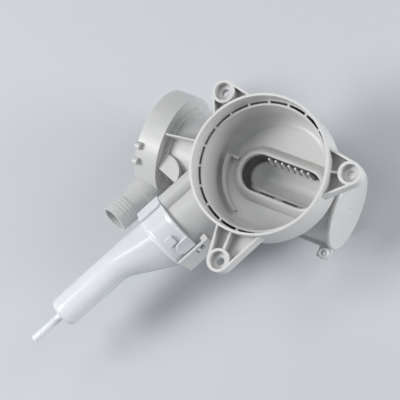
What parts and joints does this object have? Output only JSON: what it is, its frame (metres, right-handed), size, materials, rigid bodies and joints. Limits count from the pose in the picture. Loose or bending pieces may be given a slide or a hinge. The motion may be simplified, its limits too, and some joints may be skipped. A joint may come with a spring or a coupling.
{
  "type": "washing machine pump filter housing",
  "caption": "Pump filter housing of a washing machine: round pot with screw ears over a pump chamber, with drain spigot, pump seat and clipped-on air trap",
  "frame": {"origin": "middle of the pot's mouth, level with the rim", "axes": "+Z leaves the mouth along the pot's axis, -X leaves the pump's seat along the chamber's axis, and +Y completes the right-handed frame"},
  "size_m": [0.1912, 0.2186, 0.1],
  "materials": {
    "housing_grey": "moulded light grey polypropylene",
    "trap_milky": "milky translucent polypropylene",
    "seal_rubber": "black moulded rubber",
    "flap_rubber": "dark grey moulded rubber",
    "pin_steel": "drawn stainless wire"
  },
  "bodies": {
    "housing": {"filter_pot": "housing_grey", "chamber_top": "housing_grey", "chamber_bottom": "housing_grey", "end_cover": "housing_grey", "cover_seal": "seal_rubber", "volute": "housing_grey", "pump_seat": "housing_grey", "pump_seal": "seal_rubber", "outlet_spigot": "housing_grey", "outlet_seal": "seal_rubber", "flap_seat": "housing_grey", "flap_pin": "pin_steel", "trap_port": "housing_grey", "trap_seal": "seal_rubber", "air_trap": "trap_milky"},
    "flap": {"check_flap": "flap_rubber"},
    "strainer": {"strainer_tray": "housing_grey"}
  },
  "joints": [
    {"name": "flap_hinge", "type": "hinge", "parent": "housing", "child": "flap", "pos_m": [-0.09472, -0.0485, -0.04503], "axis": [-0.9511, 0.309, 0], "range_deg": [0, 55]},
    {"name": "tray_lift", "type": "slide", "parent": "housing", "child": "strainer", "axis": [0, 0, 1], "range_m": [0, 0.1]}
  ]
}
